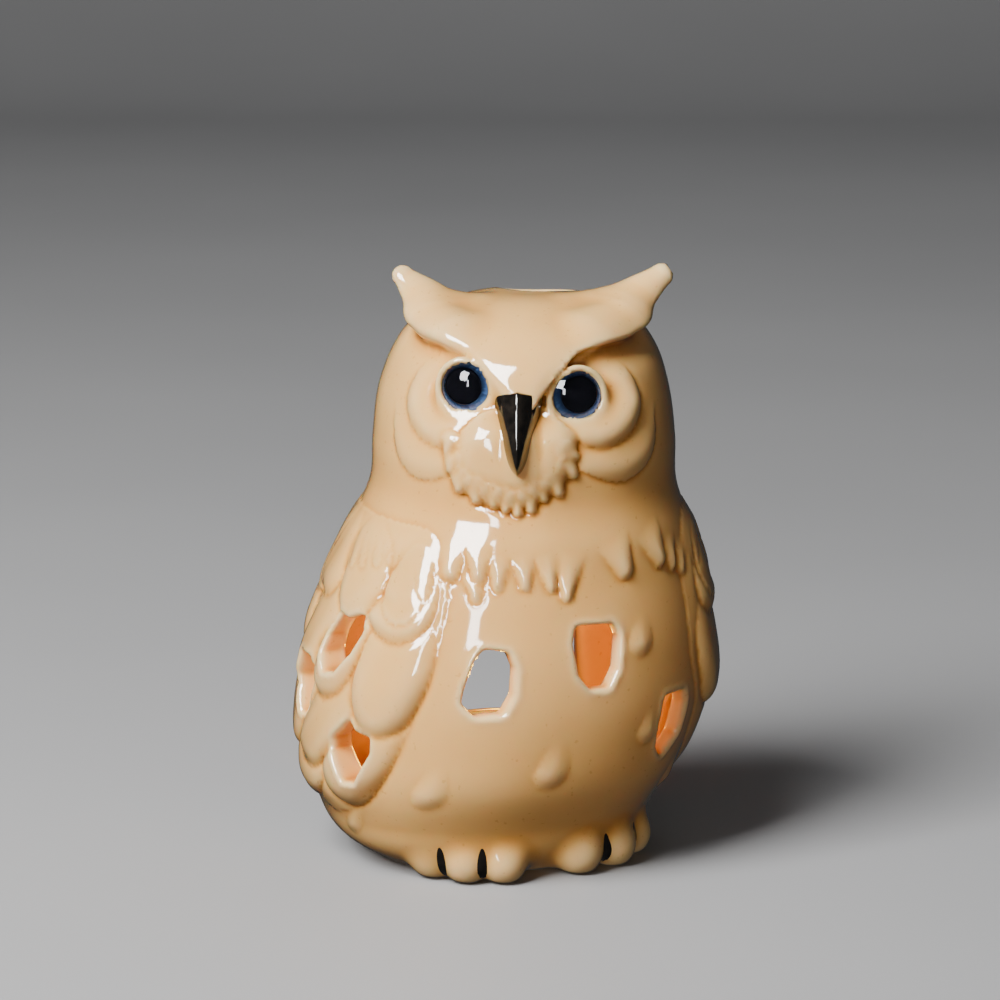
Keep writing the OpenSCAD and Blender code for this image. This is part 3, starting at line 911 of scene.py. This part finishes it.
def iris_material():
    """Slate blue iris: a light ring in the middle of its width, navy at its rim, with fine rays, and painted
    light that makes its lower side lighter and its upper side darker.
    """
    s = Shader("iris_paint", Roughness=0.6, Specular_IOR_Level=0.0)
    ring = s.add("ShaderNodeAttribute", attribute_name="ring")
    rays = s.add("ShaderNodeAttribute", attribute_name="rays")
    colour = s.ramp(ring.outputs["Fac"], [
        (0.00, (0.005, 0.008, 0.018)),
        (0.20, (0.018, 0.036, 0.085)),
        (0.45, (0.060, 0.115, 0.23)),
        (0.60, (0.022, 0.045, 0.10)),
        (0.74, (0.004, 0.007, 0.016)),
        (1.00, (0.001, 0.002, 0.004)),
    ])
    fine = s.ramp(rays.outputs["Fac"], [(0.0, (0.72, 0.76, 0.82)), (1.0, (1.0, 1.0, 1.0))])
    colour = s.mix(0.8, colour, fine, "MULTIPLY")
    # painted light: the iris's lower side is kept light and its upper side is darkened, as if lit from below
    # and shaded by the brow
    low = s.add("ShaderNodeAttribute", attribute_name="low")
    painted_lower_light = s.ramp(low.outputs["Fac"], [(0.25, (0.45, 0.48, 0.52)), (0.85, (1.0, 1.0, 1.0))])
    s.colour(s.mix(1.0, colour, painted_lower_light, "MULTIPLY"))
    return s.material


def pupil_material():
    s = Shader("pupil_paint", Roughness=0.5, Specular_IOR_Level=0.0)
    s.colour(s.ramp(s.noise(500, 2), [(0.3, (0.001, 0.001, 0.0015)), (0.8, (0.004, 0.004, 0.006))]))
    return s.material


def glass_material():
    s = Shader("eye_glass", Roughness=0.0, IOR=1.5, Transmission_Weight=1.0)
    s.surface.inputs["Base Color"].default_value = (0.97, 0.985, 1.0, 1)
    s.bump(s.noise(220, 1), 0.02, 0.0002)
    return s.material


def aluminium_material():
    return mottled("cup_aluminium", (300, 4), (0.3, (0.74, 0.75, 0.76)), (0.7, (0.90, 0.90, 0.91)),
                   (700, 3, 0.12, 0.0003), Metallic=1.0, Roughness=0.28)


def wax_material():
    return mottled("white_wax", (120, 3), (0.3, (0.88, 0.83, 0.72)), (0.7, (0.95, 0.92, 0.85)),
                   (250, 3, 0.15, 0.0004), Roughness=0.38, Subsurface_Weight=0.6, Subsurface_Scale=0.006)


def tin_material():
    return mottled("sustainer_tin", (800, 3), (0.3, (0.42, 0.42, 0.43)), (0.7, (0.62, 0.62, 0.62)),
                   (900, 2, 0.1, 0.0002), Metallic=1.0, Roughness=0.35)


def wick_material():
    s = Shader("wick_cotton", Roughness=0.9, Sheen_Weight=0.3)
    height = s.add("ShaderNodeAttribute", attribute_name="char")
    burnt = s.ramp(height.outputs["Fac"], [
        (0.0, (0.80, 0.74, 0.62)), (0.55, (0.45, 0.36, 0.25)), (0.8, (0.02, 0.016, 0.013)),
    ])
    fibres = s.ramp(s.noise(2500, 3), [(0.3, (0.7, 0.7, 0.7)), (0.7, (1, 1, 1))])
    s.colour(s.mix(1.0, burnt, fibres, "MULTIPLY"))
    return s.material


# ---------------- the ceramic
def make_shell():
    low, high = (np.array(c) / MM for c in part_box("owl_shell"))
    points, quads = field_mesh(owl_field, low - MIDDLE - 3, high - MIDDLE + 3, VOXEL)
    points = sharpen(points, clay_field, socket_field, VOXEL * 0.5)
    points[:, 2] = np.where(points[:, 2] < 0.03, 0.0, points[:, 2])
    points = points + MIDDLE
    shell = make_object("owl_shell_glazed", points, quads, "owl", "owl_shell", glaze_material())
    mesh = shell.data
    place = read_all(mesh.vertices, "co", 3) / MM
    normals = read_all(mesh.vertices, "normal", 3)
    edges = read_all(mesh.edges, "vertices", 2, int)
    smooth = place.copy()
    pool = np.zeros(len(place))
    # how far each point lies below its surroundings, on three scales: steps of smoothing and gain
    steps = {int(2 / VOXEL**2): 5.0, int(10 / VOXEL**2): 1.3, int(36 / VOXEL**2): 0.45}
    for k in range(1, max(steps) + 1):
        smooth = neighbour_mean(smooth, edges)
        if k in steps:
            pool += np.tanh(((smooth - place) * normals).sum(1) * steps[k]) / len(steps)
    set_attribute(shell, "pool", 0.45 + 0.5 * pool)


# ---------------- beak and claws
def fall_onto(points, direction, field, farthest=28.0):
    """Moves points along a direction until they meet the field's surface, or leaves them where they are."""
    points = np.array(points, float)
    start = points.copy()
    for _ in range(60):
        points = points + np.clip(field(points), -1, 1)[:, None] * 0.7 * direction
    far = np.linalg.norm(points - start, axis=1) > farthest
    points[far] = start[far]
    return points


def closed_patch(front, back, rows, columns):
    """Faces of a thin solid between two grids of the same size."""
    faces = []
    n = rows * columns
    for i in range(rows - 1):
        for j in range(columns - 1):
            a = i * columns + j
            quad = (a, a + 1, a + columns + 1, a + columns)
            faces.append(quad)
            faces.append(tuple(n + k for k in reversed(quad)))
    rim = list(range(columns))
    rim += [i * columns + columns - 1 for i in range(1, rows)]
    rim += [(rows - 1) * columns + j for j in range(columns - 2, -1, -1)]
    rim += [i * columns for i in range(rows - 2, 0, -1)]
    for a, b in zip(rim, rim[1:] + rim[:1]):
        faces.append((b, a, n + a, n + b))
    return np.concatenate([front, back]), faces


# Beak from its top to its tip: height, half width, reach over the face
BEAK_ROWS = [
    (98.7, 4.8, 1.2), (98.0, 4.9, 2.0), (96, 4.65, 2.8), (93, 4.1, 3.4), (90, 3.3, 3.5),
    (87.5, 2.5, 3.1), (85.6, 1.75, 2.5), (84.7, 1.25, 1.9), (84.1, 0.75, 1.3), (83.8, 0.3, 0.8),
]
BEAK_MIDDLE = -0.5
BEAK_SUNK, BEAK_BACK = 0.7, 1.8


def make_beak():
    rows, columns = 60, 33
    table = np.array(BEAK_ROWS)
    heights = np.interp(np.linspace(0, 1, rows) ** 0.9, np.linspace(0, 1, len(table)), table[:, 0])
    half = smooth_curve(table[::-1, (0, 1)], heights)
    reach = smooth_curve(table[::-1, (0, 2)], heights)
    v = np.linspace(-1, 1, columns)
    # the top edge rises to a blunt peak in the middle
    peak = 1.2 * (1 - np.abs(v)) * np.clip(1 - np.linspace(0, 1, rows) * 3, 0, 1)[:, None]
    u = BEAK_MIDDLE + v[None, :] * half[:, None]
    z = heights[:, None] + peak
    local = np.stack([u, np.full_like(u, -45.0), z], -1).reshape(-1, 3)
    start = np.array([from_head(q) for q in local])
    inward = from_head((0, 1, 0)) - from_head((0, 0, 0))
    depth = (fall_onto(start, inward, owl_field) - start) @ inward
    # a smooth surface through the face, so that the beak's own shape doesn't repeat the plumage
    across, up = local[:, 0] / 5, (local[:, 2] - 92) / 8
    terms = np.stack([np.ones_like(up), across, up, across**2, across * up, up**2, up**3], 1)
    depth = terms @ np.linalg.lstsq(terms, depth, rcond=None)[0]
    roof = (1 - np.abs(v) ** 1.3)[None, :] * (reach + BEAK_SUNK)[:, None]
    front = start + inward * (depth[:, None] - roof.reshape(-1, 1) + BEAK_SUNK)
    back = start + inward * (depth[:, None] + BEAK_BACK)
    points, faces = closed_patch(front, back, rows, columns)
    make_object("beak_glazed", points + MIDDLE, faces, "owl", "beak", black_glaze_material())


CLAW_HALF_WIDTH = 1.05
CLAW_MIDDLE, CLAW_HALF_LENGTH = 4.5, 3.8


def make_claws():
    """Glazed strokes laid in the grooves between the toes."""
    rows, columns = 25, 13
    all_points, all_faces = [], []
    s, v = np.meshgrid(np.linspace(-1, 1, rows), np.linspace(-1, 1, columns), indexing="ij")
    for azimuth, step, _, reach in FEET:
        for k in (-0.5, 0.5):
            out = toe_axis(azimuth + k * step)
            across = np.array([-out[1], out[0], 0.0])
            width = CLAW_HALF_WIDTH * np.sqrt(np.maximum(1 - s**2, 0.01)) * (1 - 0.15 * s)
            start = (
                out * (reach + 8)
                + across * (v * width)[..., None]
                + np.array([0, 0, 1.0]) * (CLAW_MIDDLE + CLAW_HALF_LENGTH * s)[..., None]
            ).reshape(-1, 3)
            ground = fall_onto(start, -out, owl_field)
            swell = 0.3 * (1 - v**2) * (1 - s**2)
            front = ground + out * (swell.reshape(-1, 1) - 0.05)
            points, faces = closed_patch(front, ground - out * 0.5, rows, columns)
            first = sum(map(len, all_points))
            all_faces += [tuple(i + first for i in f) for f in faces]
            all_points.append(points)
    make_object("claw_strokes", np.concatenate(all_points) + MIDDLE, all_faces, "owl",
                "claw_marks", black_glaze_material())


# ---------------- lathe pieces
def lathe(profile, sides, wave=None):
    """Solid of revolution round local Z; a profile point on the axis becomes a pole."""
    angles = np.linspace(0, 2 * math.pi, sides, endpoint=False)
    points, rings = [], []
    for k, (r, z) in enumerate(profile):
        if r < 1e-6:
            rings.append([len(points)])
            points.append((0.0, 0.0, z))
            continue
        rings.append(list(range(len(points), len(points) + sides)))
        grown = r + (wave(k, angles) if wave else 0 * angles)
        points += list(zip(grown * np.cos(angles), grown * np.sin(angles), np.full(sides, z)))
    faces = []
    for low, high in zip(rings, rings[1:]):
        for j in range(sides):
            n = (j + 1) % sides
            if len(low) == 1:
                faces.append((low[0], high[n], high[j]))
            elif len(high) == 1:
                faces.append((low[j], low[n], high[0]))
            else:
                faces.append((low[j], low[n], high[n], high[j]))
    return np.array(points), faces


def ring_wall(profile, sides, wave=None):
    """Closed ring: the profile's last point joins its first."""
    points, faces = lathe(profile, sides, wave)
    last = (len(profile) - 1) * sides
    faces += [(last + j, last + (j + 1) % sides, (j + 1) % sides, j) for j in range(sides)]
    return points, faces


def arc(centre, radius, start, end, count):
    """Points of a circle's arc, angles in degrees from +r towards +z."""
    return [
        (centre[0] + radius * math.cos(math.radians(a)), centre[1] + radius * math.sin(math.radians(a)))
        for a in np.linspace(start, end, count)
    ]


def tube_faces(rows, sides, closed=False):
    """Quads between rings of points that follow each other, the last joining the first if closed."""
    faces = []
    for k in range(rows if closed else rows - 1):
        a, b = k * sides, (k + 1) % rows * sides
        faces += [(a + j, a + (j + 1) % sides, b + (j + 1) % sides, b + j) for j in range(sides)]
    return faces


def onto_eye(points, name):
    """An eye's own coordinates to the row's, in millimetres."""
    rim, across, up, out = EYES[name]
    return rim + MIDDLE + points[:, :1] * across + points[:, 1:2] * up + points[:, 2:] * out


GLASS_BACK, IRIS_TOP, IRIS_BACK = -1.78, -1.4, -1.7


def make_eye(name):
    make_eye_glass(name)
    shift = np.array([(1 if name == "left" else -1) * PUPIL_SHIFT, PUPIL_SHIFT / 2])
    make_iris(name, shift)
    make_pupil(name, shift)


def make_eye_glass(name):
    spread = math.degrees(math.asin(EYE_R / DOME_R))
    dome = arc((0, EYE_DOME - DOME_R), DOME_R, 90, 90 - spread + 2, 26)
    dome[0] = (0, EYE_DOME)
    profile = dome + arc((EYE_R - 0.3, -0.25), 0.3, 40, 0, 5)
    profile += [(EYE_R, IRIS_TOP), (EYE_R - 0.2, GLASS_BACK), (0, GLASS_BACK)]
    points, faces = lathe(profile, 96)
    make_object(name + "_glass_dome", onto_eye(points, name), faces, "owl", name + "_eye_glass",
                glass_material())


def make_iris(name, shift):
    """A shallow bowl round the pupil, with its rim turned up."""
    sides, steps = 160, 20
    angles = np.linspace(0, 2 * math.pi, sides, endpoint=False)
    rim = np.stack([np.cos(angles), np.sin(angles)], 1)
    points, ring = [], []
    for k in range(steps):
        t = k / (steps - 1)
        around = (1 - t) * (shift + rim * (PUPIL_R - 0.02)) + t * rim * (EYE_R - 0.08)
        ripple = 0.04 * np.sin(angles * 37) * math.sin(math.pi * t)
        z = IRIS_TOP + 0.12 * t + 0.9 * t**16 + ripple
        points.append(np.column_stack([around, z]))
        ring.append(np.full(sides, t))
    outer, inner = points[-1], points[0]
    points += [np.column_stack([edge[:, :2], np.full(sides, IRIS_BACK)]) for edge in (outer, inner)]
    ring += [np.ones(sides), np.zeros(sides)]
    total = len(points)
    iris = make_object(name + "_iris_disc", onto_eye(np.concatenate(points), name),
                       tube_faces(total, sides, closed=True), "owl", name + "_eye_iris",
                       iris_material())
    rays = 0.5 + 0.5 * rng.uniform(-1, 1, sides)
    set_attribute(iris, "ring", np.concatenate(ring))
    set_attribute(iris, "rays", np.tile(rays, total))
    # painted light: 1 at the iris's lower side and 0 at its upper side, which the material turns into a
    # lighter lower side and a shaded upper side
    set_attribute(iris, "low", np.tile(0.5 - 0.5 * np.sin(angles), total))


def make_pupil(name, shift):
    edge = PUPIL_R - 0.05
    profile = [(0, -1.36), (1.5, -1.365), (2.7, -1.385), (edge, -1.41), (edge, -1.68), (0, IRIS_BACK)]
    points, faces = lathe(profile, 64)
    points[:, :2] += shift
    make_object(name + "_pupil_disc", onto_eye(points, name), faces, "owl", name + "_eye_pupil",
                pupil_material())


# ---------------- tealight
def place_of(node):
    """Middle of the underside of a node's box, and the box's height, in millimetres."""
    low, high = (np.array(c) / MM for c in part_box(node))
    return np.array([(low[0] + high[0]) / 2, (low[1] + high[1]) / 2, low[2]]), high[2] - low[2]


def make_cup():
    base, top = place_of("tealight_cup")
    inner, outer, t, foot = 18.55, 19.0, 0.4, 1.7
    profile = [(0, foot), (15.9, foot), (16.4, 0.3)] + arc((17.2, 0.4), 0.4, 200, 340, 8)
    profile += [(outer - 0.25, 1.4), (outer - 0.12, 2.2)]
    profile += [(outer - 0.1, z) for z in np.linspace(2.6, top - 1.2, 9)]
    profile += arc((outer - 0.28, top - 0.3), 0.3, -20, 190, 12)
    profile += [(inner, top - 1.0), (inner, foot + t + 0.8), (inner - 0.6, foot + t), (0, foot + t)]
    walls = range(12, 24)

    def flutes(k, angles):
        return 0.07 * np.cos(angles * 60) if k in walls else 0 * angles

    points, faces = lathe(profile, 480, flutes)
    make_object("tealight_cup_fluted", points + base, faces, "tealight", "tealight_cup",
                aluminium_material())


def make_wax():
    """Wax that has melted once: raised at the cup's wall and round the wick, hollow between them."""
    base, top = place_of("tealight_wax")
    hole = 0.86
    profile = [(hole, 0.1), (17.4, 0.1)] + arc((17.6, 0.6), 0.5, 290, 350, 5) + [(18.2, 1.2)]
    surface = [
        (18.22, 1.0), (18.1, 0.25), (17.5, 0.0), (16.4, 0.25), (14.5, 0.6), (12, 0.95), (9, 1.15),
        (6, 1.2), (3.5, 1.2), (2.2, 1.1), (1.4, 0.85), (hole, 0.6),
    ]
    profile += [(r, top - sunk) for r, sunk in surface]

    def uneven(k, angles):
        return 0.04 * np.sin(angles * 5 + k) if 5 < k < 20 else 0 * angles

    points, faces = ring_wall(profile, 128, uneven)
    make_object("tealight_wax_melted", points + base, faces, "candle", "tealight_wax", wax_material())


def make_sustainer():
    base, top = place_of("wick_sustainer")
    profile = [(0.84, 0.02), (5.9, 0.02), (6.0, 0.15), (5.9, 0.3), (1.6, 0.3), (1.25, 0.6)]
    profile += [(1.2, top - 0.3), (1.1, top - 0.02), (0.84, top)]
    points, faces = ring_wall(profile, 64)
    make_object("wick_sustainer_disc", points + base, faces, "candle", "wick_sustainer",
                tin_material())


def make_wick():
    """Three twisted strands that lean over at their burnt tip."""
    base, length = place_of("wick")
    rows, sides = 90, 36
    angles = np.linspace(0, 2 * math.pi, sides, endpoint=False)
    points = []
    for share in np.linspace(0, 1, rows):
        strands = 0.68 + 0.09 * np.cos(3 * (angles + share * 22))
        r = strands * (1 if share < 0.93 else 1 - 0.45 * ((share - 0.93) / 0.07) ** 2)
        lean = 0.5 * max(0, share - 0.72) / 0.28
        level = np.full(sides, share * length)
        points.append(np.column_stack([r * np.cos(angles) + lean, r * np.sin(angles), level]))
    points = np.concatenate(points + [np.array([[0, 0, 0.0], [0.5, 0, length]])])
    bottom, top = rows * sides, rows * sides + 1
    a = (rows - 1) * sides
    faces = tube_faces(rows, sides)
    faces += [(bottom, (j + 1) % sides, j) for j in range(sides)]
    faces += [(a + j, a + (j + 1) % sides, top) for j in range(sides)]
    wick = make_object("wick_twisted", points + base, faces, "candle", "wick", wick_material())
    set_attribute(wick, "char", points[:, 2] / length)


# ---------------- stage, lights, camera
VIEW_AZIMUTH, VIEW_ELEVATION = math.radians(-20), math.radians(12.6)
VIEW_DISTANCE = 0.9157
VIEW_TARGET = Vector((0.00375, 0.01577, 0.06819))


def make_floor():
    """A floor that bends up into a wall behind the owl, square to the view; sizes in metres."""
    half, near, far, rise, bend = 2.4, -1.6, 1.6, 1.4, 0.5
    profile = [(near, 0.0), (far - bend, 0.0)]
    for a in np.linspace(0.1, math.pi / 2, 12):
        profile.append((far - bend + bend * math.sin(a), bend - bend * math.cos(a)))
    profile.append((far, rise))
    c, s = math.cos(VIEW_AZIMUTH), math.sin(VIEW_AZIMUTH)
    points = [(x * c - y * s, x * s + y * c, z) for x in (-half, half) for y, z in profile]
    n = len(profile)
    mesh = bpy.data.meshes.new("floor")
    mesh.from_pydata(points, [], [(k, k + 1, n + k + 1, n + k) for k in range(n - 1)])
    mesh.shade_smooth()
    floor = bpy.data.objects.new("floor", mesh)
    bpy.context.scene.collection.objects.link(floor)
    shader = Shader("pale_floor", Roughness=0.6)
    shader.colour(shader.ramp(shader.noise(6, 2), [(0.3, (0.34, 0.34, 0.345)), (0.7, (0.36, 0.36, 0.365))]))
    mesh.materials.append(shader.material)
    # the floor sends no light back up, as if the owl stood at the edge of a dark slab
    floor.visible_diffuse = False
    floor.visible_glossy = False


def aim(obj, place, target):
    """Puts a light or camera at a place, looking at the target."""
    obj.location = place
    obj.rotation_euler = (Vector(target) - Vector(place)).to_track_quat("-Z", "Y").to_euler()


def area_light(name, azimuth, elevation, distance, size, power, colour=(1, 1, 1), diffuse=True, glossy=True):
    """Softbox aimed at the owl, from degrees round from the breast and above the floor."""
    data = bpy.data.lights.new(name, "AREA")
    data.shape = "RECTANGLE"
    data.size, data.size_y = size
    data.energy = power
    data.color = colour
    light = bpy.data.objects.new(name, data)
    light.visible_diffuse = diffuse
    light.visible_glossy = glossy
    bpy.context.scene.collection.objects.link(light)
    a, e = math.radians(azimuth), math.radians(elevation)
    place = Vector((math.sin(a) * math.cos(e), -math.cos(a) * math.cos(e), math.sin(e))) * distance
    aim(light, place + VIEW_TARGET, VIEW_TARGET)


def make_lights():
    area_light("key_softbox", -64, 44, 0.9, (0.42, 0.62), 22.0, glossy=False)
    area_light("key_shine", -56, 36, 0.91, (0.40, 0.44), 26.0, diffuse=False)
    area_light("front_fill", -24, 0, 1.2, (0.5, 0.3), 5.0, colour=(1.0, 0.94, 0.88), glossy=False)
    area_light("eye_strip", -38, 14, 0.9, (0.10, 0.30), 3.0, diffuse=False)
    area_light("back_softbox", 150, 50, 1.2, (0.6, 0.6), 0.8, glossy=False)
    glow = bpy.data.lights.new("tealight_glow", "POINT")
    glow.energy = 0.03
    glow.color = (1.0, 0.50, 0.02)
    glow.shadow_soft_size = 0.003
    light = bpy.data.objects.new("tealight_glow", glow)
    low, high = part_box("wick")
    light.location = ((low.x + high.x) / 2, (low.y + high.y) / 2, high.z + 0.006)
    bpy.context.scene.collection.objects.link(light)
    light.parent = frame["bodies"]["candle"]
    world = bpy.data.worlds.new("studio")
    world.use_nodes = True
    background = world.node_tree.nodes["Background"]
    background.inputs["Color"].default_value = (0.78, 0.80, 0.83, 1)
    background.inputs["Strength"].default_value = 0.045
    bpy.context.scene.world = world


def make_camera():
    data = bpy.data.cameras.new("camera")
    data.sensor_width = 36
    data.lens = 160.4
    camera = bpy.data.objects.new("camera", data)
    bpy.context.scene.collection.objects.link(camera)
    back = Vector((
        math.sin(VIEW_AZIMUTH) * math.cos(VIEW_ELEVATION),
        -math.cos(VIEW_AZIMUTH) * math.cos(VIEW_ELEVATION),
        math.sin(VIEW_ELEVATION),
    ))
    aim(camera, VIEW_TARGET + back * VIEW_DISTANCE, VIEW_TARGET)
    bpy.context.scene.camera = camera


make_camera()
make_floor()
make_lights()
make_shell()
make_beak()
make_claws()
for eye in EYES:
    make_eye(eye)
make_cup()
make_wax()
make_sustainer()
make_wick()
